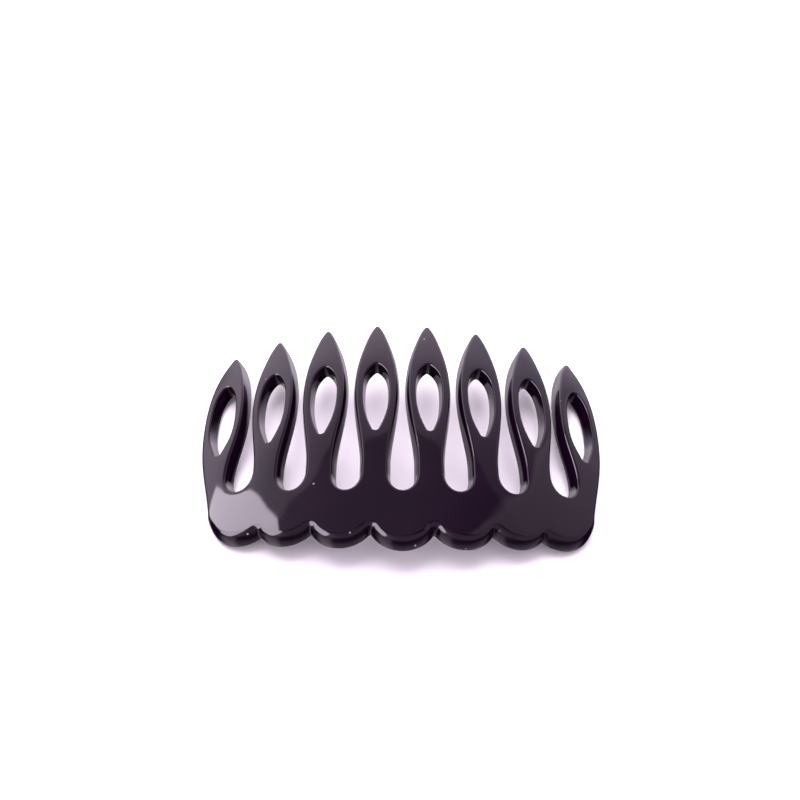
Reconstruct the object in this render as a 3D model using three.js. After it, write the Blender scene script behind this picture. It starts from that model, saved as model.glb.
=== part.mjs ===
// Decorative side comb: a curved plate of glossy plastic with a scalloped spine and eight
// leaf-shaped teeth, each with an almond opening. Millimetres, +Z up.
//
// The plate is drawn flat and then bent twice: over an arch across its width, and in a long
// gentle sweep from the spine to the tips. The flat drawing has x across the comb and y from
// the spine to the tips, with the gap between the middle teeth ending near y = 0. Every edge
// is a row of stations, and each station knows which way the material lies, so that the
// rounded rim and the drafted wall are offsets of one outline.

import * as THREE from 'three';
import { mergeVertices } from 'three/addons/utils/BufferGeometryUtils.js';
import { TessellateModifier } from 'three/addons/modifiers/TessellateModifier.js';

// ---- driving dimensions ----------------------------------------------------------------

const TOOTH_COUNT = 8;
const PITCH = 10.8;
const THICKNESS = 3.2;
const ARCH_RADIUS = 99;
const SWEEP_RADIUS = 255;
const SWEEP_CREST_Y = -5.4;

// edge section: a round rim on the top face, fuller on the scallops, then a wall that widens
// downwards by its draft
const RIM_RADIUS = 0.6;
const LOBE_RIM_RADIUS = 1.3;
const LOBE_RIM_Y = { start: -1, end: -5 };
const HOLE_RIM_RADIUS = 0.4;
const OUTER_DRAFT = 0.55;
const NARROW_DRAFT = 0.15;
const HOLE_DRAFT = 0.3;
const TIP_FADE = 8;
const SIDE_FADE = { start: 39.5, length: 4 };

// heights that follow a bow: the value at the middle, and the change at the outermost tooth
const OUTER_X = PITCH * (TOOTH_COUNT - 1) / 2;
const TIP_Y = { middle: 48.0, change: -5.4 };
const LEAF_WIDEST_Y = { middle: 27.7, change: -3.8 };
const GAP_END_Y = { middle: 0.8, change: 3.7 };
const HOLE_TOP_Y = { middle: 34.3, change: -1.6 };
const HOLE_BOTTOM_Y = { middle: 15.5, change: -2.0 };
const HOLE_WIDEST_Y = { middle: 26.8, change: -3.8 };

// a tooth: half widths, and the handles that set how full its curves are
const ROOT_Y = 7.8;
const NECK_HALF_WIDTH = 3.05;
const LEAF_HALF_WIDTH = 4.8;
const TIP_RADIUS = 0.78;
const TIP_HALF_ANGLE = THREE.MathUtils.degToRad(28);
const LEAF_HANDLES = { tip: 5.0, widestUp: 8.3, widestDown: 7.5, neck: 5.2 };
const GAP_END_HEIGHT = 3.8;

// the outer side of the first and last tooth, which is also the side of the comb
const OUTER_TIP_SHIFT = 0.7;
const SIDE_WIDEST = { x: 42.2, y: 23.1 };
const SIDE_ROOT_X = 40.4;
const SIDE_LEAN = 0.239;
const SIDE_HANDLES = { widestUp: 10.0, widestDown: 7.0, root: 4.2, spineRoot: 3.4, corner: 2.4 };
const CORNER_LEAN = 0.09;

// the almond opening
const HOLE_HALF_WIDTH = 2.4;
const HOLE_TOP = { radius: 0.5, halfAngle: THREE.MathUtils.degToRad(42), handle: 2.4 };
const HOLE_BOTTOM = { radius: 0.4, halfAngle: THREE.MathUtils.degToRad(22), handle: 3.6 };
const HOLE_HANDLES = { up: 3.9, down: 4.6 };

// the scallops: circles along the free edge of the spine, from the middle outwards
const LOBES = [
  { x: 0, bottomY: -11.63, radius: 6.8 },
  { x: 11.64, bottomY: -10.82, radius: 6.8 },
  { x: 22.35, bottomY: -9.48, radius: 6.8 },
  { x: 31.3, bottomY: -8.1, radius: 7.1 },
];
const NOTCH_RADIUS = 0.35;

// facets
const CURVE_STEPS = 7;
const LOBE_STEPS = 9;
const TIP_STEPS = 2;
const SMALL_ARC_STEPS = 3;
const GAP_END_STEPS = 10;
const MAX_CAP_EDGE = 6.5;
const MAX_CAP_SPLITS = 24;

const PLASTIC = { color: 0x2b2130, roughness: 0.12, metalness: 0 };

// ---- outlines --------------------------------------------------------------------------

const bow = ({ middle, change }, x) => middle + change * (x / OUTER_X) ** 2;

// a point on an edge, with the direction into the material: to the right of the walk
function station(x, y, tangentX, tangentY) {
  const length = Math.hypot(tangentX, tangentY);
  return { x, y, intoX: tangentY / length, intoY: -tangentX / length };
}

function bezier(p0, p1, p2, p3, steps) {
  const curve = new THREE.CubicBezierCurve(...[p0, p1, p2, p3].map((p) => new THREE.Vector2(...p)));
  const stations = [];
  for (let i = 0; i <= steps; i += 1) {
    const point = curve.getPoint(i / steps);
    const tangent = curve.getTangent(i / steps);
    stations.push(station(point.x, point.y, tangent.x, tangent.y));
  }
  return stations;
}

function arc(centre, radiusX, radiusY, startAngle, endAngle, steps) {
  const turn = Math.sign(endAngle - startAngle);
  const stations = [];
  for (let i = 0; i <= steps; i += 1) {
    const angle = startAngle + (endAngle - startAngle) * i / steps;
    const x = centre[0] + radiusX * Math.cos(angle);
    const y = centre[1] + radiusY * Math.sin(angle);
    stations.push(station(x, y, -turn * radiusX * Math.sin(angle), turn * radiusY * Math.cos(angle)));
  }
  return stations;
}

// strokes that meet smoothly share their end station
const join = (...strokes) => strokes.flatMap((stroke, i) => (i === 0 ? stroke : stroke.slice(1)));

const mirror = (stations, x = 0) => stations
  .map((s) => ({ x: 2 * x - s.x, y: s.y, intoX: -s.intoX, intoY: s.intoY }))
  .reverse();

// where an edge crosses the root plane its offset slides along the plane
const rootStation = (s) => ({ x: s.x, y: ROOT_Y, intoX: 1 / s.intoX, intoY: 0 });

// an outer edge is drafted, but less so towards a tip and along the sides of the comb
const asOuterEdge = (stations, tipY = Infinity) => stations.map((s) => {
  const fromTip = (tipY - s.y) / TIP_FADE;
  const fromSide = (SIDE_FADE.start - Math.abs(s.x)) / SIDE_FADE.length;
  const drafted = THREE.MathUtils.smoothstep(Math.min(fromTip, fromSide), 0, 1);
  const onLobe = THREE.MathUtils.smoothstep(-s.y, -LOBE_RIM_Y.start, -LOBE_RIM_Y.end);
  return {
    ...s,
    draft: THREE.MathUtils.lerp(NARROW_DRAFT, OUTER_DRAFT, drafted),
    rim: THREE.MathUtils.lerp(RIM_RADIUS, LOBE_RIM_RADIUS, onLobe),
  };
});

// half of a pointed tip: a small arc, and where its straight side leaves it
function tipArc(x, tipY) {
  const centre = [x, tipY - TIP_RADIUS];
  const stations = arc(centre, TIP_RADIUS, TIP_RADIUS, Math.PI / 2, TIP_HALF_ANGLE, TIP_STEPS);
  const end = stations.at(-1);
  const handle = [
    end.x + LEAF_HANDLES.tip * Math.sin(TIP_HALF_ANGLE),
    end.y - LEAF_HANDLES.tip * Math.cos(TIP_HALF_ANGLE),
  ];
  return { stations, start: [end.x, end.y], handle };
}

// the right side of a leaf, from its tip down to the root plane
function leafSide(x, tipX) {
  const tip = tipArc(tipX, bow(TIP_Y, x));
  const widest = [x + LEAF_HALF_WIDTH, bow(LEAF_WIDEST_Y, x)];
  const neck = [x + NECK_HALF_WIDTH, ROOT_Y];
  const upper = bezier(
    tip.start, tip.handle, [widest[0], widest[1] + LEAF_HANDLES.widestUp], widest, CURVE_STEPS,
  );
  const lower = bezier(
    widest, [widest[0], widest[1] - LEAF_HANDLES.widestDown],
    [neck[0], neck[1] + LEAF_HANDLES.neck], neck, CURVE_STEPS,
  );
  return join(tip.stations, upper, lower);
}

// the outer side of the last tooth, from its tip down to the root plane
function outerSide(x, tipX) {
  const tip = tipArc(tipX, bow(TIP_Y, x));
  const widest = [SIDE_WIDEST.x, SIDE_WIDEST.y];
  const root = [SIDE_ROOT_X, ROOT_Y];
  const upper = bezier(
    tip.start, tip.handle, [widest[0], widest[1] + SIDE_HANDLES.widestUp], widest, CURVE_STEPS,
  );
  const lower = bezier(
    widest, [widest[0], widest[1] - SIDE_HANDLES.widestDown],
    [root[0] + SIDE_HANDLES.root * SIDE_LEAN, root[1] + SIDE_HANDLES.root], root, CURVE_STEPS,
  );
  return join(tip.stations, upper, lower);
}

function toothOutline(x) {
  const outermost = Math.abs(x) > OUTER_X - PITCH / 2;
  const tipX = outermost ? x - Math.sign(x) * OUTER_TIP_SHIFT : x;
  const side = Math.sign(x) || 1;
  const inner = mirror(leafSide(Math.abs(x), 2 * Math.abs(x) - Math.abs(tipX)), Math.abs(x));
  const outer = outermost ? outerSide(Math.abs(x), Math.abs(tipX)) : leafSide(Math.abs(x), Math.abs(tipX));
  const edge = join(inner, outer);
  const stations = [rootStation(edge[0]), ...edge.slice(1, -1), rootStation(edge.at(-1))];
  return asOuterEdge(side > 0 ? stations : mirror(stations), bow(TIP_Y, x));
}

// an almond opening, walked with the material on the right
function holeOutline(x) {
  const widest = [x + HOLE_HALF_WIDTH, bow(HOLE_WIDEST_Y, x)];
  const bottom = arc(
    [x, bow(HOLE_BOTTOM_Y, x) + HOLE_BOTTOM.radius], HOLE_BOTTOM.radius, HOLE_BOTTOM.radius,
    -Math.PI / 2, -HOLE_BOTTOM.halfAngle, SMALL_ARC_STEPS,
  );
  const top = arc(
    [x, bow(HOLE_TOP_Y, x) - HOLE_TOP.radius], HOLE_TOP.radius, HOLE_TOP.radius,
    HOLE_TOP.halfAngle, Math.PI / 2, SMALL_ARC_STEPS,
  );
  const from = bottom.at(-1);
  const to = top[0];
  const lower = bezier(
    [from.x, from.y],
    [
      from.x + HOLE_BOTTOM.handle * Math.sin(HOLE_BOTTOM.halfAngle),
      from.y + HOLE_BOTTOM.handle * Math.cos(HOLE_BOTTOM.halfAngle),
    ],
    [widest[0], widest[1] - HOLE_HANDLES.down], widest, CURVE_STEPS,
  );
  const upper = bezier(
    widest, [widest[0], widest[1] + HOLE_HANDLES.up],
    [
      to.x + HOLE_TOP.handle * Math.sin(HOLE_TOP.halfAngle),
      to.y - HOLE_TOP.handle * Math.cos(HOLE_TOP.halfAngle),
    ],
    [to.x, to.y], CURVE_STEPS,
  );
  const rightHalf = join(bottom, lower, upper, top);
  const stations = join(rightHalf, mirror(rightHalf, x)).slice(0, -1);
  return stations.map((s) => ({ ...s, draft: HOLE_DRAFT, rim: HOLE_RIM_RADIUS }));
}

// the centre of the small fillet that touches two neighbouring lobes below their crossing
function notchCentre(a, b) {
  const reachA = a.radius + NOTCH_RADIUS;
  const reachB = b.radius + NOTCH_RADIUS;
  const dx = b.x - a.x;
  const dy = b.y - a.y;
  const span = Math.hypot(dx, dy);
  const along = (span ** 2 + reachA ** 2 - reachB ** 2) / (2 * span);
  const below = Math.sqrt(reachA ** 2 - along ** 2);
  return [a.x + (along * dx + below * dy) / span, a.y + (along * dy - below * dx) / span];
}

// the scalloped edge, walked from the right corner to the left one
function scallops(cornerAngle) {
  const half = LOBES.map((lobe) => ({ ...lobe, y: lobe.bottomY + lobe.radius }));
  const lobes = [...half.slice(1).reverse(), ...half.map((lobe) => ({ ...lobe, x: -lobe.x }))];
  const notches = lobes.slice(1).map((lobe, i) => notchCentre(lobe, lobes[i]));
  const angleTo = (from, to) => Math.atan2(to[1] - from[1], to[0] - from[0]);
  const strokes = [];
  lobes.forEach((lobe, i) => {
    const centre = [lobe.x, lobe.y];
    const start = i === 0 ? cornerAngle : angleTo(centre, notches[i - 1]);
    const end = i === notches.length ? -Math.PI - cornerAngle : angleTo(centre, notches[i]);
    strokes.push(arc(centre, lobe.radius, lobe.radius, start, end, LOBE_STEPS));
    if (i < notches.length) {
      const next = [lobes[i + 1].x, lobes[i + 1].y];
      const fillet = [angleTo(notches[i], centre), angleTo(notches[i], next)];
      strokes.push(arc(notches[i], NOTCH_RADIUS, NOTCH_RADIUS, ...fillet, SMALL_ARC_STEPS));
    }
  });
  return join(...strokes);
}

// the side of the spine, from the root plane down to its rounded corner
function spineSide(cornerAngle) {
  const corner = LOBES.at(-1);
  const foot = [
    corner.x + corner.radius * Math.cos(cornerAngle),
    corner.bottomY + corner.radius + corner.radius * Math.sin(cornerAngle),
  ];
  return bezier(
    [SIDE_ROOT_X, ROOT_Y],
    [SIDE_ROOT_X - SIDE_HANDLES.spineRoot * SIDE_LEAN, ROOT_Y - SIDE_HANDLES.spineRoot],
    [foot[0] + SIDE_HANDLES.corner * CORNER_LEAN, foot[1] + SIDE_HANDLES.corner],
    foot, SMALL_ARC_STEPS,
  );
}

function spineOutline(toothPositions) {
  const cornerAngle = -Math.atan(CORNER_LEAN);
  const side = spineSide(cornerAngle);
  side[0] = rootStation(side[0]);
  const gaps = toothPositions.slice(1).flatMap((x) => {
    const middle = x - PITCH / 2;
    const halfWidth = PITCH / 2 - NECK_HALF_WIDTH;
    const endY = bow(GAP_END_Y, middle);
    const bulb = arc(
      [middle, endY + GAP_END_HEIGHT], halfWidth, GAP_END_HEIGHT, Math.PI, 2 * Math.PI, GAP_END_STEPS,
    );
    const left = rootStation(bulb[0]);
    const right = rootStation(bulb.at(-1));
    return [left, ...bulb, right];
  });
  const edge = join(side, scallops(cornerAngle), mirror(side));
  return asOuterEdge([...gaps, ...edge]);
}

// ---- the plate -------------------------------------------------------------------------

// the depth below the top face as shares of the rim radius and of the thickness, and the shares
// of the draft and of the rim radius by which an edge is offset into the material
function edgeSection() {
  const half = Math.SQRT1_2;
  return [
    { rimDepth: 0, thickness: 0, draft: 1, rim: 1 },
    { rimDepth: 1 - half, thickness: 0, draft: 1, rim: 1 - half },
    { rimDepth: 1, thickness: 0, draft: 1, rim: 0 },
    { rimDepth: 0, thickness: 1, draft: 0, rim: 0 },
  ];
}

// bends a point of the flat drawing, at a depth below the top face, to its place on the comb
function bend(x, y, depth) {
  const angle = x / ARCH_RADIUS;
  const radius = ARCH_RADIUS - depth;
  const sweep = (y - SWEEP_CREST_Y) ** 2 / (2 * SWEEP_RADIUS);
  return [radius * Math.sin(angle), y, radius * Math.cos(angle) - ARCH_RADIUS - sweep];
}

// one offset of an edge, with its depth as z; single precision, as in a geometry's arrays, so
// that walls and caps share their vertices exactly
const ring = (stations, section) => stations.map((s) => {
  const inset = s.draft * section.draft + s.rim * section.rim;
  const depth = s.rim * section.rimDepth + THICKNESS * section.thickness;
  const point = [s.x + s.intoX * inset, s.y + s.intoY * inset, depth];
  return new THREE.Vector3(...point.map(Math.fround));
});

// a flat face of the plate, cut into triangles small enough to follow the bend
function capTriangles(outline, holes, section, up) {
  const contour = ring(outline, section);
  const openings = holes.map((hole) => ring(hole, section));
  const points = [contour, ...openings].flat();
  const positions = [];
  for (const face of THREE.ShapeUtils.triangulateShape(contour, openings)) {
    const corners = face.map((index) => points[index]);
    const isUp = THREE.ShapeUtils.area(corners) > 0;
    const ordered = isUp === up ? corners : corners.reverse();
    for (const corner of ordered) {
      positions.push(...corner);
    }
  }
  const flat = new THREE.BufferGeometry();
  flat.setAttribute('position', new THREE.Float32BufferAttribute(positions, 3));
  const split = new TessellateModifier(MAX_CAP_EDGE, MAX_CAP_SPLITS).modify(flat);
  return Array.from(split.getAttribute('position').array);
}

// the wall between two offsets of one edge
function wallTriangles(stations, upper, lower) {
  const top = ring(stations, upper);
  const bottom = ring(stations, lower);
  return top.flatMap((point, i) => {
    const next = (i + 1) % top.length;
    return [point, top[next], bottom[next], point, bottom[next], bottom[i]].flatMap((p) => [...p]);
  });
}

function plateGeometry(outline, holes) {
  const sections = edgeSection();
  const flat = [
    ...capTriangles(outline, holes, sections[0], true),
    ...capTriangles(outline, holes, sections.at(-1), false),
  ];
  for (const edge of [outline, ...holes]) {
    for (let i = 1; i < sections.length; i += 1) {
      flat.push(...wallTriangles(edge, sections[i - 1], sections[i]));
    }
  }
  const bent = [];
  for (let i = 0; i < flat.length; i += 3) {
    bent.push(...bend(flat[i], flat[i + 1], flat[i + 2]));
  }
  const geometry = new THREE.BufferGeometry();
  geometry.setAttribute('position', new THREE.Float32BufferAttribute(bent, 3));
  const merged = mergeVertices(geometry, 1e-3);
  merged.computeVertexNormals();
  return merged;
}

function plateMesh(name, outline, holes = []) {
  const mesh = new THREE.Mesh(plateGeometry(outline, holes), new THREE.MeshStandardMaterial(PLASTIC));
  mesh.name = name;
  return mesh;
}

// ---- the comb --------------------------------------------------------------------------

// the comb lies on its spine's end lobes and its outer tips: turn it until both are level
function layDown(comb) {
  const settlingRounds = 6;
  for (let i = 0; i < settlingRounds; i += 1) {
    comb.updateMatrixWorld(true);
    const lowest = { front: new THREE.Vector3(0, 0, Infinity), back: new THREE.Vector3(0, 0, Infinity) };
    const middleY = new THREE.Box3().setFromObject(comb, true).getCenter(new THREE.Vector3()).y;
    for (const mesh of comb.children) {
      const positions = mesh.geometry.getAttribute('position');
      for (let v = 0; v < positions.count; v += 1) {
        const point = new THREE.Vector3().fromBufferAttribute(positions, v).applyMatrix4(comb.matrixWorld);
        const end = point.y < middleY ? lowest.front : lowest.back;
        if (point.z < end.z) end.copy(point);
      }
    }
    const rise = lowest.back.z - lowest.front.z;
    comb.rotation.x -= Math.atan2(rise, lowest.back.y - lowest.front.y);
  }
  comb.updateMatrixWorld(true);
  const box = new THREE.Box3().setFromObject(comb, true);
  const centre = box.getCenter(new THREE.Vector3());
  comb.position.set(-centre.x, -centre.y, -box.min.z);
}

function buildComb() {
  const positions = Array.from({ length: TOOTH_COUNT }, (_, i) => i * PITCH - OUTER_X);
  const plates = new THREE.Group();
  plates.add(plateMesh('spine', spineOutline(positions)));
  positions.forEach((x, i) => {
    plates.add(plateMesh(`tooth_${i + 1}`, toothOutline(x), [holeOutline(x)]));
  });
  layDown(plates);
  const comb = new THREE.Group();
  comb.add(plates);
  return comb;
}

export default buildComb();
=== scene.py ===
"""A decorative side comb of glossy dark plastic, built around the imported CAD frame.

The comb is one curved plate: a scalloped spine and eight leaf-shaped teeth with almond
openings. The plate is drawn flat, given its tumbled, softly crowned faces and round rims, and
then bent over an arch and along a gentle sweep. Each CAD node gets one finer piece, and the
comb is centred on the CAD's box. Metres, in the CAD's own frame: x across the comb, y from
the spine to the tips, z up.
"""

import math

import bpy
import numpy as np
from mathutils import Matrix, Vector
from mathutils.geometry import delaunay_2d_cdt


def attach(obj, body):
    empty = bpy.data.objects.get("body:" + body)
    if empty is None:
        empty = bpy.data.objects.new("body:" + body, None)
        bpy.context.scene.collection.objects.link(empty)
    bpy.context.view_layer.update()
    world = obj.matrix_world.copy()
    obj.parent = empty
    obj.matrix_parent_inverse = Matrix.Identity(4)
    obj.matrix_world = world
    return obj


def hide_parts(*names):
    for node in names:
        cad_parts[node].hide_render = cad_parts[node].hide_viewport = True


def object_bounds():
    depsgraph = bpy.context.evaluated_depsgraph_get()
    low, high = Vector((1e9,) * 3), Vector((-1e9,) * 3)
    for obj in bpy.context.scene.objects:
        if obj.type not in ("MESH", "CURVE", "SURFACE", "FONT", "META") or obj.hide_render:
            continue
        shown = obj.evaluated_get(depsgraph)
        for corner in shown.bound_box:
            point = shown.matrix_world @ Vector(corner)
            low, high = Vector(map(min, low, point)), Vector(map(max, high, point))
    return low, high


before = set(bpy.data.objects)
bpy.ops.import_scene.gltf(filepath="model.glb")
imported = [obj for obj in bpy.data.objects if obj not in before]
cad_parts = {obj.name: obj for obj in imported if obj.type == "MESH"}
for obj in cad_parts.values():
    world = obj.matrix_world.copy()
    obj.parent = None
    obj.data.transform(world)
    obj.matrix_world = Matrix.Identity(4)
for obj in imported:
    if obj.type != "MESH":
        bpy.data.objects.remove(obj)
cad_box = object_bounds()

MM = 0.001

# ---- driving dimensions ---------------------------------------------------------------------

TOOTH_COUNT = 8
PITCH = 10.8 * MM
THICKNESS = 3.2 * MM
ARCH_RADIUS = 99 * MM
SWEEP_RADIUS = 255 * MM
SWEEP_CREST_Y = -5.4 * MM

# edge section: a round rim on the top face, fuller on the scallops, a wall that widens
# downwards by its draft, and a small lower round
RIM_RADIUS = 0.6 * MM
LOBE_RIM_RADIUS = 1.3 * MM
LOBE_RIM_Y = (-1.0 * MM, -5.0 * MM)
HOLE_RIM_RADIUS = 0.4 * MM
OUTER_DRAFT = 0.55 * MM
NARROW_DRAFT = 0.15 * MM
HOLE_DRAFT = 0.3 * MM
TIP_FADE = 8 * MM
SIDE_FADE_START = 39.5 * MM
SIDE_FADE = 4 * MM
LOWER_RADIUS = 0.2 * MM

# tumbling wears the faces down towards every edge
CROWN_DROP = 0.10 * MM
CROWN_REACH = 1.5 * MM
UNDERSIDE_SHARE = 0.7

# heights that follow a bow: the value at the middle, and the change at the outermost tooth
OUTER_X = PITCH * (TOOTH_COUNT - 1) / 2
TIP_Y = (48.0 * MM, -5.4 * MM)
LEAF_WIDEST_Y = (27.7 * MM, -3.8 * MM)
GAP_END_Y = (0.8 * MM, 3.7 * MM)
HOLE_TOP_Y = (34.3 * MM, -1.6 * MM)
HOLE_BOTTOM_Y = (15.5 * MM, -2.0 * MM)
HOLE_WIDEST_Y = (26.8 * MM, -3.8 * MM)

# a tooth: half widths, and the handles that set how full its curves are
ROOT_Y = 7.8 * MM
NECK_HALF_WIDTH = 3.05 * MM
LEAF_HALF_WIDTH = 4.8 * MM
TIP_RADIUS = 0.78 * MM
TIP_HALF_ANGLE = math.radians(28)
TIP_HANDLE = 5.0 * MM
WIDEST_UP_HANDLE = 8.3 * MM
WIDEST_DOWN_HANDLE = 7.5 * MM
NECK_HANDLE = 5.2 * MM
GAP_END_HEIGHT = 3.8 * MM

# the outer side of the first and last tooth, which is also the side of the comb
OUTER_TIP_SHIFT = 0.7 * MM
SIDE_WIDEST = (42.2 * MM, 23.1 * MM)
SIDE_ROOT_X = 40.4 * MM
SIDE_LEAN = 0.239
SIDE_UP_HANDLE = 10.0 * MM
SIDE_DOWN_HANDLE = 7.0 * MM
SIDE_ROOT_HANDLE = 4.2 * MM
SPINE_ROOT_HANDLE = 3.4 * MM
CORNER_HANDLE = 2.4 * MM
CORNER_LEAN = 0.09

# the almond opening: radius, half angle and handle at its top and at its bottom
HOLE_HALF_WIDTH = 2.4 * MM
HOLE_TOP = (0.5 * MM, math.radians(42), 2.4 * MM)
HOLE_BOTTOM = (0.4 * MM, math.radians(22), 3.6 * MM)
HOLE_UP_HANDLE = 3.9 * MM
HOLE_DOWN_HANDLE = 4.6 * MM

# the scallops: circles along the free edge of the spine, as x, bottom y and radius
LOBES = [
    (0.0, -11.63 * MM, 6.8 * MM),
    (11.64 * MM, -10.82 * MM, 6.8 * MM),
    (22.35 * MM, -9.48 * MM, 6.8 * MM),
    (31.3 * MM, -8.1 * MM, 7.1 * MM),
]
NOTCH_RADIUS = 0.35 * MM

# mesh fineness
CURVE_STEPS = 22
LOBE_STEPS = 26
SMALL_ARC_STEPS = 8
GAP_END_STEPS = 26
STRAIGHT_STEPS = 4
JOIN_SHARES = (0.3, 0.4, 0.5, 0.6, 0.7)
RIM_STEPS = 7
WALL_STEPS = 5
LOWER_STEPS = 3
CAP_SPACING = 0.9 * MM
CAP_CLEARANCE = 0.55 * CAP_SPACING
FIELD_CELL = 0.1 * MM
FIELD_MARGIN = 6 * CROWN_REACH
SETTLING_ROUNDS = 6
ROOT_TOLERANCE = 1e-7
CAP_TOLERANCE = 1e-6
TINY = 1e-9

# ---- edges of the flat drawing --------------------------------------------------------------
# A stroke is an array of rows x, y, into_x, into_y: points in walking order, each with the
# direction into the material, which lies to the right of the walk.


def bow(heights, x):
    middle, change = heights
    return middle + change * (x / OUTER_X) ** 2


def stroke(points, tangents):
    tangents = tangents / np.linalg.norm(tangents, axis=1)[:, None]
    return np.column_stack([points, tangents[:, 1], -tangents[:, 0]])


def bezier(p0, p1, p2, p3, steps=CURVE_STEPS):
    t = np.linspace(0, 1, steps + 1)[:, None]
    p0, p1, p2, p3 = (np.array(p, float) for p in (p0, p1, p2, p3))
    points = (1 - t) ** 3 * p0 + 3 * (1 - t) ** 2 * t * p1 + 3 * (1 - t) * t**2 * p2 + t**3 * p3
    tangents = (1 - t) ** 2 * (p1 - p0) + 2 * (1 - t) * t * (p2 - p1) + t**2 * (p3 - p2)
    return stroke(points, tangents)


def arc(centre, radius_x, radius_y, start, end, steps=SMALL_ARC_STEPS):
    angle = np.linspace(start, end, steps + 1)
    turn = math.copysign(1, end - start)
    ray = np.column_stack([np.cos(angle), np.sin(angle)])
    along = np.column_stack([-turn * radius_x * np.sin(angle), turn * radius_y * np.cos(angle)])
    return stroke(np.array(centre) + ray * [radius_x, radius_y], along)


def straight(start, end, steps=STRAIGHT_STEPS):
    t = np.linspace(0, 1, steps + 1)[:, None]
    start, end = np.array(start, float), np.array(end, float)
    return stroke(start + (end - start) * t, np.repeat([end - start], steps + 1, axis=0))


def join(*strokes):
    return np.concatenate([strokes[0]] + [s[1:] for s in strokes[1:]])


def mirror(edge, x=0.0):
    return (edge * [-1, 1, -1, 1] + [2 * x, 0, 0, 0])[::-1]


def slide_along_root(edge, index):
    """Where an edge crosses the root plane, its offset slides along the plane."""
    edge[index, 1] = ROOT_Y
    edge[index, 2:] = 1 / edge[index, 2], 0


def along_root(start_x, end_x):
    """Points inside a neck, on the line where a tooth meets the spine. They have no offset."""
    xs = start_x + (end_x - start_x) * np.array(JOIN_SHARES)
    return np.column_stack([xs, np.full(len(xs), ROOT_Y), np.zeros(len(xs)), np.zeros(len(xs))])


def tip_arc(x, tip_y):
    centre = (x, tip_y - TIP_RADIUS)
    edge = arc(centre, TIP_RADIUS, TIP_RADIUS, math.pi / 2, TIP_HALF_ANGLE)
    end = edge[-1, :2]
    slope = np.array([math.sin(TIP_HALF_ANGLE), -math.cos(TIP_HALF_ANGLE)])
    return edge, end, end + TIP_HANDLE * slope


def leaf_side(x, tip_x):
    """The right side of a leaf, from its tip down to the root plane."""
    tip, start, handle = tip_arc(tip_x, bow(TIP_Y, x))
    widest_x, widest_y = x + LEAF_HALF_WIDTH, bow(LEAF_WIDEST_Y, x)
    neck_x = x + NECK_HALF_WIDTH
    upper = bezier(start, handle, (widest_x, widest_y + WIDEST_UP_HANDLE), (widest_x, widest_y))
    lower = bezier(
        (widest_x, widest_y),
        (widest_x, widest_y - WIDEST_DOWN_HANDLE),
        (neck_x, ROOT_Y + NECK_HANDLE),
        (neck_x, ROOT_Y),
    )
    return join(tip, upper, lower)


def outer_side(x, tip_x):
    """The outer side of the last tooth, from its tip down to the root plane."""
    tip, start, handle = tip_arc(tip_x, bow(TIP_Y, x))
    widest_x, widest_y = SIDE_WIDEST
    upper = bezier(start, handle, (widest_x, widest_y + SIDE_UP_HANDLE), SIDE_WIDEST)
    lower = bezier(
        SIDE_WIDEST,
        (widest_x, widest_y - SIDE_DOWN_HANDLE),
        (SIDE_ROOT_X + SIDE_ROOT_HANDLE * SIDE_LEAN, ROOT_Y + SIDE_ROOT_HANDLE),
        (SIDE_ROOT_X, ROOT_Y),
    )
    return join(tip, upper, lower)


def tooth_outline(x):
    right_x = abs(x)
    outermost = right_x > OUTER_X - PITCH / 2
    tip_x = right_x - OUTER_TIP_SHIFT if outermost else right_x
    inner = mirror(leaf_side(right_x, 2 * right_x - tip_x), right_x)
    outer = (outer_side if outermost else leaf_side)(right_x, tip_x)
    edge = join(inner, outer)
    slide_along_root(edge, 0)
    slide_along_root(edge, -1)
    edge = edge if x > 0 else mirror(edge)
    return np.concatenate([edge, along_root(edge[-1, 0], edge[0, 0])])


def hole_outline(x):
    """An almond opening, walked with the material on the right."""
    widest = (x + HOLE_HALF_WIDTH, bow(HOLE_WIDEST_Y, x))
    radius, half_angle, handle = HOLE_BOTTOM
    bottom = arc((x, bow(HOLE_BOTTOM_Y, x) + radius), radius, radius, -math.pi / 2, -half_angle)
    leave = bottom[-1, :2] + handle * np.array([math.sin(half_angle), math.cos(half_angle)])
    lower = bezier(bottom[-1, :2], leave, (widest[0], widest[1] - HOLE_DOWN_HANDLE), widest)
    radius, half_angle, handle = HOLE_TOP
    top = arc((x, bow(HOLE_TOP_Y, x) - radius), radius, radius, half_angle, math.pi / 2)
    reach = top[0, :2] + handle * np.array([math.sin(half_angle), -math.cos(half_angle)])
    upper = bezier(widest, (widest[0], widest[1] + HOLE_UP_HANDLE), reach, top[0, :2])
    right_half = join(bottom, lower, upper, top)
    return join(right_half, mirror(right_half, x))[:-1]


def notch_centre(left, right):
    """The centre of the small fillet that touches two neighbouring lobes below their crossing."""
    (ax, ay, ar), (bx, by, br) = left, right
    reach_a, reach_b = ar + NOTCH_RADIUS, br + NOTCH_RADIUS
    dx, dy = bx - ax, by - ay
    span = math.hypot(dx, dy)
    along = (span**2 + reach_a**2 - reach_b**2) / (2 * span)
    below = math.sqrt(reach_a**2 - along**2)
    return ax + (along * dx + below * dy) / span, ay + (along * dy - below * dx) / span


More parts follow.
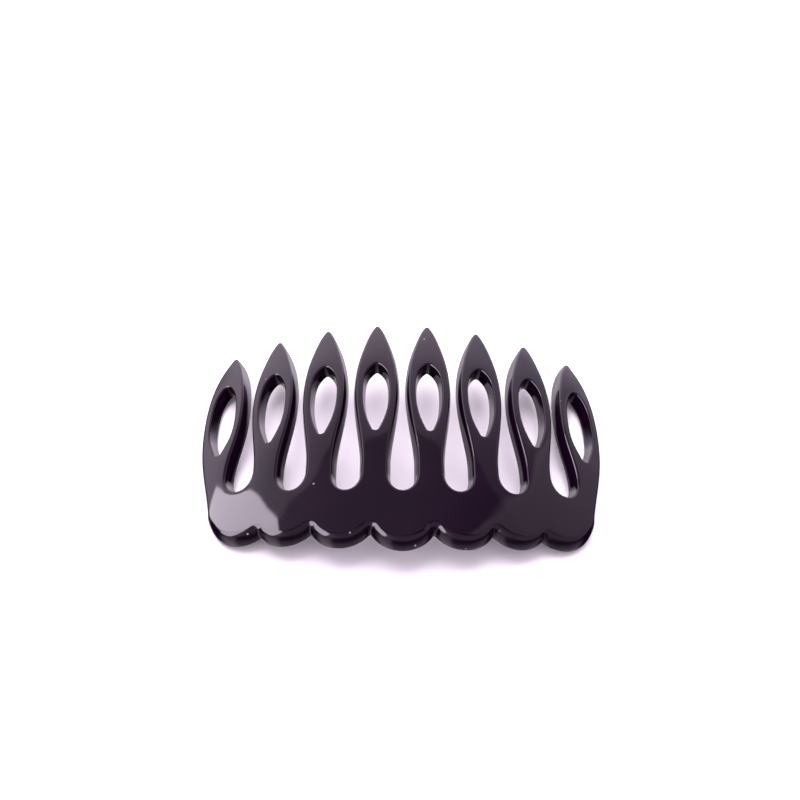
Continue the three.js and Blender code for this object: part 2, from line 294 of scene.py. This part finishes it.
def scallops(corner_angle):
    """The scalloped edge, walked from the right corner to the left one."""
    right_half = [(x, bottom_y + radius, radius) for x, bottom_y, radius in LOBES]
    lobes = right_half[:0:-1] + [(-x, y, radius) for x, y, radius in right_half]
    notches = [notch_centre(left, right) for right, left in zip(lobes, lobes[1:])]

    def angle(start, end):
        return math.atan2(end[1] - start[1], end[0] - start[0])

    strokes = []
    for i, lobe in enumerate(lobes):
        start = angle(lobe, notches[i - 1]) if i > 0 else corner_angle
        end = angle(lobe, notches[i]) if i < len(notches) else -math.pi - corner_angle
        strokes.append(arc(lobe[:2], lobe[2], lobe[2], start, end, LOBE_STEPS))
        if i < len(notches):
            fillet = angle(notches[i], lobe), angle(notches[i], lobes[i + 1])
            strokes.append(arc(notches[i], NOTCH_RADIUS, NOTCH_RADIUS, *fillet))
    return join(*strokes)


def spine_outline(tooth_xs):
    gap_half_width = PITCH / 2 - NECK_HALF_WIDTH
    gaps = []
    for x in tooth_xs[1:]:
        middle = x - PITCH / 2
        bulb_y = bow(GAP_END_Y, middle) + GAP_END_HEIGHT
        left, right = middle - gap_half_width, middle + gap_half_width
        bulb = arc(
            (middle, bulb_y), gap_half_width, GAP_END_HEIGHT, math.pi, 2 * math.pi, GAP_END_STEPS
        )
        gap = join(straight((left, ROOT_Y), (left, bulb_y)), bulb)
        gap = join(gap, straight((right, bulb_y), (right, ROOT_Y)))
        gaps.append(gap)
    corner_angle = -math.atan(CORNER_LEAN)
    corner_x, corner_bottom, corner_radius = LOBES[-1]
    foot = (
        corner_x + corner_radius * math.cos(corner_angle),
        corner_bottom + corner_radius + corner_radius * math.sin(corner_angle),
    )
    side = bezier(
        (SIDE_ROOT_X, ROOT_Y),
        (SIDE_ROOT_X - SPINE_ROOT_HANDLE * SIDE_LEAN, ROOT_Y - SPINE_ROOT_HANDLE),
        (foot[0] + CORNER_HANDLE * CORNER_LEAN, foot[1] + CORNER_HANDLE),
        foot,
    )
    slide_along_root(side, 0)
    rim = join(side, scallops(corner_angle), mirror(side))
    edge = rim
    for gap in gaps:
        edge = np.concatenate([edge, along_root(edge[-1, 0], gap[0, 0]), gap])
    return np.concatenate([edge, along_root(edge[-1, 0], rim[0, 0])])


# ---- the crown: how far tumbling has worn the faces down ------------------------------------


class Crown:
    """A smooth field over the flat drawing, 1 at a straight edge and 0 well inside."""

    def __init__(self, solids, openings):
        points = np.concatenate(solids)[:, :2]
        self.low = points.min(axis=0) - FIELD_MARGIN
        counts = np.ceil((points.max(axis=0) + FIELD_MARGIN - self.low) / FIELD_CELL).astype(int)
        filled = np.zeros((counts[1], counts[0]))
        for edge in solids:
            self._fill(filled, edge, 1)
        for edge in openings:
            self._fill(filled, edge, 0)
        waves_y = np.fft.fftfreq(counts[1], FIELD_CELL)[:, None]
        waves_x = np.fft.rfftfreq(counts[0], FIELD_CELL)[None, :]
        blur = np.exp(-2 * (math.pi * CROWN_REACH) ** 2 * (waves_x**2 + waves_y**2))
        inside = np.fft.irfft2(np.fft.rfft2(filled) * blur, filled.shape)
        self.worn = 2 * (1 - inside)
        self.slope_y, self.slope_x = np.gradient(self.worn, FIELD_CELL)

    def _fill(self, filled, edge, value):
        start = (edge[:, :2] - self.low) / FIELD_CELL - 0.5
        end = np.roll(start, -1, axis=0)
        for row in range(filled.shape[0]):
            crosses = (start[:, 1] <= row) != (end[:, 1] <= row)
            if not crosses.any():
                continue
            a, b = start[crosses], end[crosses]
            xs = np.sort(a[:, 0] + (row - a[:, 1]) / (b[:, 1] - a[:, 1]) * (b[:, 0] - a[:, 0]))
            for left, right in zip(xs[::2], xs[1::2]):
                filled[row, math.ceil(left) : math.floor(right) + 1] = value

    def at(self, points):
        """The field and its two slopes at each point."""
        place = (points - self.low) / FIELD_CELL - 0.5
        cell = np.floor(place).astype(int)
        u, v = (place - cell).T
        x, y = cell.T

        def sample(grid):
            low = grid[y, x] * (1 - u) + grid[y, x + 1] * u
            high = grid[y + 1, x] * (1 - u) + grid[y + 1, x + 1] * u
            return low * (1 - v) + high * v

        return sample(self.worn), sample(self.slope_x), sample(self.slope_y)


# ---- the plate ------------------------------------------------------------------------------


def smooth(share):
    share = np.clip(share, 0, 1)
    return share * share * (3 - 2 * share)


def outer_shape(edge, tip_y=math.inf):
    """The draft and the rim radius at each point of an outer edge. The draft fades out towards
    a tip and the sides of the comb, and the rim is fuller on the scallops."""
    to_side = (SIDE_FADE_START - np.abs(edge[:, 0])) / SIDE_FADE
    share = smooth(np.minimum((tip_y - edge[:, 1]) / TIP_FADE, to_side))
    start, end = LOBE_RIM_Y
    on_lobe = smooth((edge[:, 1] - start) / (end - start))
    return (
        NARROW_DRAFT + (OUTER_DRAFT - NARROW_DRAFT) * share,
        RIM_RADIUS + (LOBE_RIM_RADIUS - RIM_RADIUS) * on_lobe,
    )


def hole_shape(edge):
    return np.full(len(edge), HOLE_DRAFT), np.full(len(edge), HOLE_RIM_RADIUS)


def edge_section(draft, rim):
    """Rows of depth, inset, and the outline's outward and upward share of the normal, for each
    point's draft and rim radius. The wall is a parabola: upright at the bottom, and leaning in
    where it meets the round rim."""
    wall_end = THICKNESS - LOWER_RADIUS
    lean = np.arctan(2 * draft / (wall_end - rim))
    rows = []
    for share in np.linspace(0, 1, RIM_STEPS + 1):
        angle = (math.pi / 2 - lean) * share
        inset = draft + rim * (np.cos(lean) - np.sin(angle))
        rows.append((rim * (1 - np.cos(angle)), inset, np.sin(angle), np.cos(angle)))
    wall_start = rows[-1][0]
    for share in np.linspace(0, 1, WALL_STEPS + 1)[1:]:
        slope = lean * (1 - share)
        depth = wall_start + (wall_end - wall_start) * share
        rows.append((depth, draft * (1 - share) ** 2, np.cos(slope), np.sin(slope)))
    level = np.ones(len(draft))
    for angle in np.linspace(0, math.pi / 2, LOWER_STEPS + 1)[1:]:
        depth = wall_end + LOWER_RADIUS * math.sin(angle)
        inset = LOWER_RADIUS * (1 - math.cos(angle))
        row = depth, inset, math.cos(angle), -math.sin(angle)
        rows.append(tuple(value * level for value in row))
    return rows


def wear(points, normals, crown):
    """Lowers the top face and raises the underside towards the edges."""
    share = 1 + (1 + UNDERSIDE_SHARE) * points[:, 2] / THICKNESS
    worn, slope_x, slope_y = crown.at(points[:, :2])
    lift = CROWN_DROP * share
    moved = points - np.column_stack([0 * lift, 0 * lift, lift * worn])
    up = normals[:, 2]
    turned = normals + np.column_stack([lift * slope_x * up, lift * slope_y * up, 0 * up])
    return moved, turned


def bend(points, normals):
    """Bends the flat plate over its arch and along its sweep, and turns its normals with it."""
    x, y, z = points.T
    angle = x / ARCH_RADIUS
    radius = ARCH_RADIUS + z
    sine, cosine = np.sin(angle), np.cos(angle)
    sweep = (y - SWEEP_CREST_Y) ** 2 / (2 * SWEEP_RADIUS)
    bent = np.column_stack([radius * sine, y, radius * cosine - ARCH_RADIUS - sweep])
    stretch = radius / ARCH_RADIUS
    jacobian = np.zeros((len(x), 3, 3))
    jacobian[:, 0, 0], jacobian[:, 2, 0] = stretch * cosine, -stretch * sine
    jacobian[:, 1, 1], jacobian[:, 2, 1] = 1, -(y - SWEEP_CREST_Y) / SWEEP_RADIUS
    jacobian[:, 0, 2], jacobian[:, 2, 2] = sine, cosine
    turned = np.linalg.solve(jacobian.transpose(0, 2, 1), normals[:, :, None])[:, :, 0]
    return bent, turned / np.maximum(np.linalg.norm(turned, axis=1), TINY)[:, None]


def inside(points, polygon):
    start, end = polygon, np.roll(polygon, -1, axis=0)
    x, y = points[:, None, 0], points[:, None, 1]
    crosses = (start[:, 1] <= y) != (end[:, 1] <= y)
    rise = np.where(crosses, end[:, 1] - start[:, 1], 1)
    crossing_x = start[:, 0] + (y - start[:, 1]) / rise * (end[:, 0] - start[:, 0])
    return (crosses & (crossing_x > x)).sum(axis=1) % 2 == 1


def cap_triangles(rings):
    """Fills a face of the plate: the rings' points, extra points inside, and triangles."""
    border = np.concatenate(rings)
    low, high = border.min(axis=0), border.max(axis=0)
    rows = np.arange(low[1], high[1], CAP_SPACING * math.sqrt(0.75))
    columns = np.arange(low[0], high[0], CAP_SPACING)
    stagger = CAP_SPACING / 2
    grid = np.array([(x + i % 2 * stagger, y) for i, y in enumerate(rows) for x in columns])
    keep = inside(grid, rings[0])
    for ring in rings[1:]:
        keep &= ~inside(grid, ring)
    grid = grid[keep]
    gaps = np.linalg.norm(grid[:, None, :] - border[None, :, :], axis=2).min(axis=1)
    grid = grid[gaps > CAP_CLEARANCE]
    points = np.concatenate([border, grid])
    edges, first = [], 0
    for ring in rings:
        count = len(ring)
        edges += [(first + i, first + (i + 1) % count) for i in range(count)]
        first += count
    scaled = [Vector(p) for p in points / MM]
    made = delaunay_2d_cdt(scaled, edges, [], 0, CAP_TOLERANCE)
    sources = [source[0] for source in made[3]]
    triangles = np.array([[sources[i] for i in face] for face in made[2]])
    centres = points[triangles].mean(axis=1)
    keep = inside(centres, rings[0])
    for ring in rings[1:]:
        keep &= ~inside(centres, ring)
    return grid, triangles[keep]


def rim_and_wall(edges, sections):
    """The points and normals of every edge's rows, and the first point of each row."""
    points, normals, rings = [], [], []
    for edge, section in zip(edges, sections):
        ring_rows = []
        into = edge[:, 2:] / np.maximum(np.linalg.norm(edge[:, 2:], axis=1), TINY)[:, None]
        for depth, inset, outward, upward in section:
            ring_rows.append(sum(len(p) for p in points))
            points.append(np.column_stack([edge[:, :2] + edge[:, 2:] * inset[:, None], -depth]))
            normals.append(np.column_stack([-into * outward[:, None], upward]))
        rings.append(ring_rows)
    return points, normals, rings


def wall_faces(edges, rings):
    """The faces between the rows, and which of them lie on the root line."""
    faces = []
    joins = set()
    for edge, ring_rows in zip(edges, rings):
        count = len(edge)
        at_root = np.isclose(edge[:, 1], ROOT_Y, atol=ROOT_TOLERANCE)
        for upper, lower in zip(ring_rows, ring_rows[1:]):
            for i in range(count):
                k = (i + 1) % count
                if at_root[i] and at_root[k]:
                    joins.add(len(faces))
                faces.append((upper + i, upper + k, lower + k, lower + i))
    return faces, joins


def plate_mesh(name, edges, shapes, crown, joins_face):
    """A closed plate from its outline and openings. The parts of an outline on the root line
    are the flat joins between the teeth and the spine, and face the way that joins_face says."""
    sections = [edge_section(*shape) for shape in shapes]
    points, normals, rings = rim_and_wall(edges, sections)
    faces, joins = wall_faces(edges, rings)
    for row, up in ((0, True), (-1, False)):
        depth = sections[0][row][0][0]
        contours = [
            edge[:, :2] + edge[:, 2:] * section[row][1][:, None]
            for edge, section in zip(edges, sections)
        ]
        extra, triangles = cap_triangles(contours)
        lookup = []
        for edge, ring_rows in zip(edges, rings):
            lookup += range(ring_rows[row], ring_rows[row] + len(edge))
        first = sum(len(p) for p in points)
        lookup += range(first, first + len(extra))
        points.append(np.column_stack([extra, np.full(len(extra), -depth)]))
        normals.append(np.tile([0, 0, 1.0 if up else -1.0], (len(extra), 1)))
        lookup = np.array(lookup)
        flat = np.concatenate(contours + [extra])
        for a, b, c in triangles:
            cross = np.cross(flat[b] - flat[a], flat[c] - flat[a])
            corners = (a, b, c) if (cross > 0) == up else (a, c, b)
            faces.append(tuple(lookup[list(corners)]))
    worn = wear(np.concatenate(points), np.concatenate(normals), crown)
    bent, turned = bend(*worn)
    mesh = bpy.data.meshes.new(name)
    mesh.from_pydata(bent.tolist(), [], [tuple(int(i) for i in face) for face in faces])
    mesh.validate()
    mesh.polygons.foreach_set("use_smooth", [True] * len(mesh.polygons))
    loop_normals = []
    for index, polygon in enumerate(mesh.polygons):
        for vertex in polygon.vertices:
            loop_normals.append(joins_face if index in joins else tuple(turned[vertex]))
    mesh.normals_split_custom_set(loop_normals)
    return mesh


# ---- laying the comb down -------------------------------------------------------------------


def lying_transform(meshes):
    """Turns the comb until its end lobes and its outer tips both touch the floor, and centres
    it on the CAD's box."""
    points = []
    for mesh in meshes:
        flat = np.empty(len(mesh.vertices) * 3)
        mesh.vertices.foreach_get("co", flat)
        points.append(flat.reshape(-1, 3))
    points = np.concatenate(points)
    pitch = 0.0
    for _ in range(SETTLING_ROUNDS):
        sine, cosine = math.sin(pitch), math.cos(pitch)
        y = points[:, 1] * cosine - points[:, 2] * sine
        z = points[:, 1] * sine + points[:, 2] * cosine
        front = y < (y.min() + y.max()) / 2
        a = np.flatnonzero(front)[z[front].argmin()]
        b = np.flatnonzero(~front)[z[~front].argmin()]
        pitch -= math.atan2(z[b] - z[a], y[b] - y[a])
    turn = Matrix.Rotation(pitch, 4, "X")
    turned = points @ np.array(turn.to_3x3()).T
    own = turned.min(axis=0), turned.max(axis=0)
    cad_low, cad_high = np.array(cad_box)
    shift = (cad_low + cad_high - own[0] - own[1]) / 2
    shift[2] = cad_low[2] - own[0][2]
    return Matrix.Translation(Vector(shift)) @ turn


# ---- materials ------------------------------------------------------------------------------


def node(tree, kind, inputs=None, **settings):
    made = tree.nodes.new(kind)
    for key, value in settings.items():
        setattr(made, key, value)
    for key, value in (inputs or {}).items():
        if isinstance(value, bpy.types.NodeSocket):
            tree.links.new(value, made.inputs[key])
        else:
            made.inputs[key].default_value = value
    return made


# scales are in cells for each metre, and edges and ranges are in a texture's own output
AUBERGINE = (0.0030, 0.0006, 0.0038, 1)
AUBERGINE_LIGHT = (0.0042, 0.0010, 0.0050, 1)
CLOUD_SCALE = 90.0
CLOUD_RANGE = (0.35, 0.65)
DUST_COLOUR = (0.22, 0.20, 0.23, 1)
DUST_SCALE = 420.0
DUST_EDGE = (0.10, 0.06)
DUST_PICKED = (0.90, 0.91)
HAZE_SCALE = 260.0
HAZE_RANGE = (0.3, 0.7)
HAZE_ROUGHNESS = (0.02, 0.05)
RIPPLE_SCALE = 130.0
RIPPLE_STRENGTH = 0.5
RIPPLE_HEIGHT = 0.05 * MM
PLASTIC_IOR = 1.5


def noise(tree, place, scale, detail):
    made = node(
        tree, "ShaderNodeTexNoise", {"Vector": place, "Scale": scale, "Detail": detail}
    )
    return made.outputs["Fac"]


def map_range(tree, value, span, to_span=(0, 1)):
    ends = {
        "Value": value,
        "From Min": span[0],
        "From Max": span[1],
        "To Min": to_span[0],
        "To Max": to_span[1],
    }
    return node(tree, "ShaderNodeMapRange", ends).outputs["Result"]


def polished_plastic(name):
    """Dark aubergine plastic: tumbled to a gloss, with faint polishing haze and a little dust."""
    material = bpy.data.materials.new(name)
    material.use_nodes = True
    tree = material.node_tree
    shader = tree.nodes["Principled BSDF"]
    place = node(tree, "ShaderNodeTexCoord").outputs["Object"]

    cloud = noise(tree, place, CLOUD_SCALE, 3)
    tint = node(tree, "ShaderNodeValToRGB", {"Fac": cloud})
    stops = zip(tint.color_ramp.elements, CLOUD_RANGE, (AUBERGINE, AUBERGINE_LIGHT))
    for element, position, shade in stops:
        element.position = position
        element.color = shade

    dust_spots = node(
        tree, "ShaderNodeTexVoronoi",
        {"Vector": place, "Scale": DUST_SCALE, "Randomness": 1.0},
        feature="F1",
    )
    is_dust = map_range(tree, dust_spots.outputs["Distance"], DUST_EDGE)
    picked = node(tree, "ShaderNodeSeparateColor", {"Color": dust_spots.outputs["Color"]})
    rare = map_range(tree, picked.outputs["Red"], DUST_PICKED)
    dust = node(tree, "ShaderNodeMath", {0: is_dust, 1: rare}, operation="MULTIPLY")
    colour = node(
        tree, "ShaderNodeMix",
        {"Factor": dust.outputs["Value"], "A": tint.outputs["Color"], "B": DUST_COLOUR},
        data_type="RGBA",
    )
    tree.links.new(colour.outputs["Result"], shader.inputs["Base Color"])

    haze = noise(tree, place, HAZE_SCALE, 5)
    roughness = map_range(tree, haze, HAZE_RANGE, HAZE_ROUGHNESS)
    tree.links.new(roughness, shader.inputs["Roughness"])

    ripple = noise(tree, place, RIPPLE_SCALE, 1)
    bump = node(
        tree, "ShaderNodeBump",
        {"Height": ripple, "Strength": RIPPLE_STRENGTH, "Distance": RIPPLE_HEIGHT},
    )
    tree.links.new(bump.outputs["Normal"], shader.inputs["Normal"])
    shader.inputs["IOR"].default_value = PLASTIC_IOR
    return material


# ---- the comb -------------------------------------------------------------------------------


def build_comb():
    tooth_xs = [i * PITCH - OUTER_X for i in range(TOOTH_COUNT)]
    spine = spine_outline(tooth_xs)
    teeth = [(tooth_outline(x), hole_outline(x)) for x in tooth_xs]
    outlines, holes = zip(*teeth)
    crown = Crown([spine, *outlines], holes)
    meshes = {
        "spine": plate_mesh("spine_moulding", [spine], [outer_shape(spine)], crown, (0, 1, 0))
    }
    for i, (outline, hole) in enumerate(teeth):
        shapes = [outer_shape(outline, bow(TIP_Y, tooth_xs[i])), hole_shape(hole)]
        name = f"tooth_{i + 1}"
        meshes[name] = plate_mesh(f"{name}_moulding", [outline, hole], shapes, crown, (0, -1, 0))
    lying = lying_transform(meshes.values())
    materials = {
        "spine_plastic": polished_plastic("spine_plastic"),
        "tooth_plastic": polished_plastic("tooth_plastic"),
    }
    for name, mesh in meshes.items():
        mesh.transform(lying)
        slot = "spine_plastic" if name == "spine" else "tooth_plastic"
        mesh.materials.append(materials[slot])
        piece = bpy.data.objects.new(f"{name}_moulding", mesh)
        bpy.context.scene.collection.objects.link(piece)
        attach(piece, "root")
        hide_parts(name)


build_comb()

# ---- floor, light and camera ----------------------------------------------------------------

FLOOR_SIZE = 3.0
PAPER_DARK = (0.80, 0.79, 0.80, 1)
PAPER_LIGHT = (0.84, 0.83, 0.84, 1)
PAPER_GRAIN_SCALE = 40.0
PAPER_ROUGHNESS = 0.9
PAPER_SPECULAR = 0.1
LIGHT_TINT = (1.0, 0.88, 1.03)
AMBIENT = 1.5

# The studio that the gloss shows, in degrees of azimuth (0 behind the comb, positive to the
# right) and of elevation. A profile's stops are an angle and a height. White paper is 1.
SWEEP_BY_ELEVATION = [
    (-90, 0.4), (-60, 0.3), (-45, 0.35), (-35, 0.75), (-25, 1.2), (-12, 1.9), (20, 1.9),
    (30, 1.7), (38, 1.1), (44, 0.78), (49, 0.68), (50, 0.28), (90, 0.28),
]
SWEEP_BY_AZIMUTH_HIGH = [
    (-180, 0), (-66, 0), (-60, 1.15), (-30, 1.1), (5, 1), (35, 0.45), (42, 0.15), (64, 0),
    (180, 0),
]
SWEEP_BY_AZIMUTH_LOW = [
    (-180, 0), (-68, 0), (-60, 0.7), (-50, 0.5), (-38, 0.5), (-28, 1.1), (-15, 0.8), (0, 0.8),
    (25, 1.25), (36, 0.7), (44, 0.3), (58, 0.18), (66, 0), (180, 0),
]
LOW_TO_HIGH = (12, 26)
DARK_SIDES = (38, 48)
DARK_SIDES_BOTTOM = (-22, -14)
DARK_SIDES_TOP = (9, 2)
PAPER_BY_ELEVATION = [
    (-90, 0.9), (-60, 0.8), (-50, 0.58), (-40, 0.52), (-30, 0.40), (-20, 0.16), (-12, 0.06),
    (-3, 0.06), (5, 0.22), (15, 0.42), (25, 0.5), (60, 0.42), (90, 0.32),
]
IN_FRONT = (90, 110)
BELOW = (-50, -62)

# the softbox at the left, as two overlapping panels with crisp and softer edges
SOFTBOX_BACK = [
    (-44, 49), (-44, 37), (-48, 31.5), (-54, 28.5), (-60, 26.5), (-84, 25), (-105, 40),
    (-105, 58), (-80, 62),
]
SOFTBOX_FRONT = [
    (-84, 45), (-86, 24), (-98, 9), (-124, 3), (-133, 12), (-133, 36), (-116, 57), (-100, 60),
]
SOFTBOX_BACK_SOFTNESS = 0.006
SOFTBOX_FRONT_SOFTNESS = 0.05
SOFTBOX_STRENGTH = 7.6

# panel, softness and strength: the softbox's haze, its light on the table, a panel at the right
GLOWS = [
    ([(-44, 49), (-44, 34), (-90, 26), (-150, 10), (-150, 36), (-105, 60)], 0.5, 1.5),
    ([(-112, 0), (-112, -60), (-150, -60), (-150, 0)], 0.15, 0.8),
    ([(38, 14), (38, 64), (80, 64), (100, 50), (100, 14)], 0.02, 0.5),
]

OVERHEAD_SIZE = 1.1
OVERHEAD_POWER = 19.0
OVERHEAD_PLACE = (-0.15, 0.35, 0.8)


def build_floor():
    """White paper. Reflections skip it: the studio below holds its gradient for them."""
    bpy.ops.mesh.primitive_plane_add(size=FLOOR_SIZE, location=(0, 0, 0))
    floor = bpy.context.object
    floor.name = "floor"
    material = bpy.data.materials.new("floor_paper")
    material.use_nodes = True
    tree = material.node_tree
    shader = tree.nodes["Principled BSDF"]
    place = node(tree, "ShaderNodeTexCoord").outputs["Object"]
    grain = noise(tree, place, PAPER_GRAIN_SCALE, 2)
    tone = node(tree, "ShaderNodeValToRGB", {"Fac": grain})
    tone.color_ramp.elements[0].color = PAPER_DARK
    tone.color_ramp.elements[1].color = PAPER_LIGHT
    tree.links.new(tone.outputs["Color"], shader.inputs["Base Color"])
    shader.inputs["Roughness"].default_value = PAPER_ROUGHNESS
    shader.inputs["Specular IOR Level"].default_value = PAPER_SPECULAR
    floor.data.materials.append(material)
    floor.visible_glossy = False


def math_node(tree, operation, *values):
    made = node(tree, "ShaderNodeMath", dict(enumerate(values)), operation=operation)
    return made.outputs["Value"]


def fade(tree, value, start, end):
    """Runs smoothly from 0 at the start to 1 at the end, flat beyond. The end may come first."""
    ends = {"Value": value, "From Min": start, "From Max": end}
    return node(tree, "ShaderNodeMapRange", ends, interpolation_type="SMOOTHSTEP").outputs["Result"]


def profile(tree, value, stops):
    """A curve through the stops, from the first to the last."""
    low, high = stops[0][0], stops[-1][0]
    share = math_node(tree, "DIVIDE", math_node(tree, "SUBTRACT", value, low), high - low)
    curve = node(tree, "ShaderNodeFloatCurve", {"Value": share})
    tallest = max(height for _, height in stops)
    points = curve.mapping.curves[0].points
    while len(points) < len(stops):
        points.new(0.5, 0.5)
    for point, (at, height) in zip(points, stops):
        point.location = (at - low) / (high - low), height / tallest
        point.handle_type = "VECTOR"
    curve.mapping.update()
    return math_node(tree, "MULTIPLY", curve.outputs["Value"], tallest)


def direction(azimuth, elevation):
    """Azimuth 0 is behind the comb, positive to the right. Degrees."""
    a, e = math.radians(azimuth), math.radians(elevation)
    return Vector((math.sin(a) * math.cos(e), math.cos(a) * math.cos(e), math.sin(e)))


def panel(tree, ray, corners, softness):
    """A light panel in the studio: 1 between its corners, given as azimuth and elevation."""
    rays = [direction(*corner) for corner in corners]
    centre = sum(rays, Vector()).normalized()
    mask = 1.0
    for a, b in zip(rays, rays[1:] + rays[:1]):
        side = a.cross(b).normalized()
        if side.dot(centre) < 0:
            side = -side
        height = node(tree, "ShaderNodeVectorMath", {0: ray, 1: side}, operation="DOT_PRODUCT")
        edge = fade(tree, height.outputs["Value"], -softness, softness)
        mask = math_node(tree, "MULTIPLY", mask, edge)
    return mask


def build_world():
    """The studio as the gloss sees it: a lit sweep behind the comb, dark sides, paper in front
    and below, a bright softbox at the left and a weak panel at the right. Everything else gets
    an even light."""
    world = bpy.data.worlds.new("studio")
    bpy.context.scene.world = world
    world.use_nodes = True
    tree = world.node_tree
    ray = node(tree, "ShaderNodeTexCoord").outputs["Generated"]
    axes = node(tree, "ShaderNodeSeparateXYZ", {"Vector": ray})
    azimuth = math_node(tree, "ARCTAN2", axes.outputs["X"], axes.outputs["Y"])
    azimuth = math_node(tree, "DEGREES", azimuth)
    elevation = math_node(tree, "DEGREES", math_node(tree, "ARCSINE", axes.outputs["Z"]))

    sweep = profile(tree, elevation, SWEEP_BY_ELEVATION)
    high = profile(tree, azimuth, SWEEP_BY_AZIMUTH_HIGH)
    low = profile(tree, azimuth, SWEEP_BY_AZIMUTH_LOW)
    width = node(
        tree, "ShaderNodeMix",
        {"Factor": fade(tree, elevation, *LOW_TO_HIGH), "A": low, "B": high},
        data_type="FLOAT",
    ).outputs["Result"]
    sky = math_node(tree, "MULTIPLY", sweep, width)
    off_centre = math_node(tree, "ABSOLUTE", azimuth)
    at_horizon = math_node(
        tree, "MULTIPLY",
        fade(tree, elevation, *DARK_SIDES_BOTTOM), fade(tree, elevation, *DARK_SIDES_TOP),
    )
    gap = math_node(tree, "MULTIPLY", fade(tree, off_centre, *DARK_SIDES), at_horizon)
    sky = math_node(tree, "MULTIPLY", sky, math_node(tree, "SUBTRACT", 1.0, gap))

    paper = profile(tree, elevation, PAPER_BY_ELEVATION)
    in_front = fade(tree, off_centre, *IN_FRONT)
    paper_share = math_node(tree, "MAXIMUM", in_front, fade(tree, elevation, *BELOW))
    sky = math_node(tree, "MULTIPLY_ADD", paper, paper_share, sky)

    lit = math_node(
        tree, "MAXIMUM",
        panel(tree, ray, SOFTBOX_BACK, SOFTBOX_BACK_SOFTNESS),
        panel(tree, ray, SOFTBOX_FRONT, SOFTBOX_FRONT_SOFTNESS),
    )
    sky = math_node(tree, "MULTIPLY_ADD", lit, SOFTBOX_STRENGTH, sky)
    for corners, softness, strength in GLOWS:
        mask = panel(tree, ray, corners, softness)
        sky = math_node(tree, "MULTIPLY_ADD", mask, strength, sky)

    glossy = node(tree, "ShaderNodeLightPath").outputs["Is Glossy Ray"]
    seen = node(
        tree, "ShaderNodeMix", {"Factor": glossy, "A": AMBIENT, "B": sky}, data_type="FLOAT"
    ).outputs["Result"]
    background = tree.nodes["Background"]
    background.inputs["Color"].default_value = (*LIGHT_TINT, 1)
    tree.links.new(seen, background.inputs["Strength"])


def build_overhead():
    """A broad overhead panel that whitens the paper. The gloss doesn't show it."""
    light = bpy.data.lights.new("overhead", "AREA")
    light.shape = "RECTANGLE"
    light.size, light.size_y = OVERHEAD_SIZE, OVERHEAD_SIZE
    light.energy = OVERHEAD_POWER
    light.color = LIGHT_TINT
    lamp = bpy.data.objects.new("overhead", light)
    lamp.location = OVERHEAD_PLACE
    lamp.rotation_euler = (-lamp.location).to_track_quat("-Z", "Y").to_euler()
    lamp.visible_glossy = False
    bpy.context.scene.collection.objects.link(lamp)


CAMERA_ELEVATION = 43.3
CAMERA_AZIMUTH = -1.23
CAMERA_ROLL = -1.82
CAMERA_DISTANCE = 238.3 * MM
CAMERA_SIDE_STEP = -0.63 * MM
CAMERA_RISE = 11.54 * MM
CAMERA_LENS = 52.3
CAMERA_CLIP = (0.01, 10)


def build_camera():
    """The camera stands back from the comb and looks down at it, a little high and to one side."""
    azimuth, elevation = math.radians(CAMERA_AZIMUTH), math.radians(CAMERA_ELEVATION)
    back = Vector((
        math.sin(azimuth) * math.cos(elevation),
        -math.cos(azimuth) * math.cos(elevation),
        math.sin(elevation),
    ))
    right = Vector((math.cos(azimuth), math.sin(azimuth), 0))
    up = back.cross(right)
    roll = Matrix.Rotation(math.radians(-CAMERA_ROLL), 3, "Z")
    turn = Matrix((right, up, back)).transposed() @ roll
    data = bpy.data.cameras.new("camera")
    data.lens = CAMERA_LENS
    data.clip_start, data.clip_end = CAMERA_CLIP
    camera = bpy.data.objects.new("camera", data)
    place = back * CAMERA_DISTANCE + right * CAMERA_SIDE_STEP + up * CAMERA_RISE
    camera.matrix_world = Matrix.Translation(place) @ turn.to_4x4()
    bpy.context.scene.collection.objects.link(camera)
    bpy.context.scene.camera = camera


build_floor()
build_world()
build_overhead()
build_camera()
bpy.context.scene.view_settings.view_transform = "Standard"
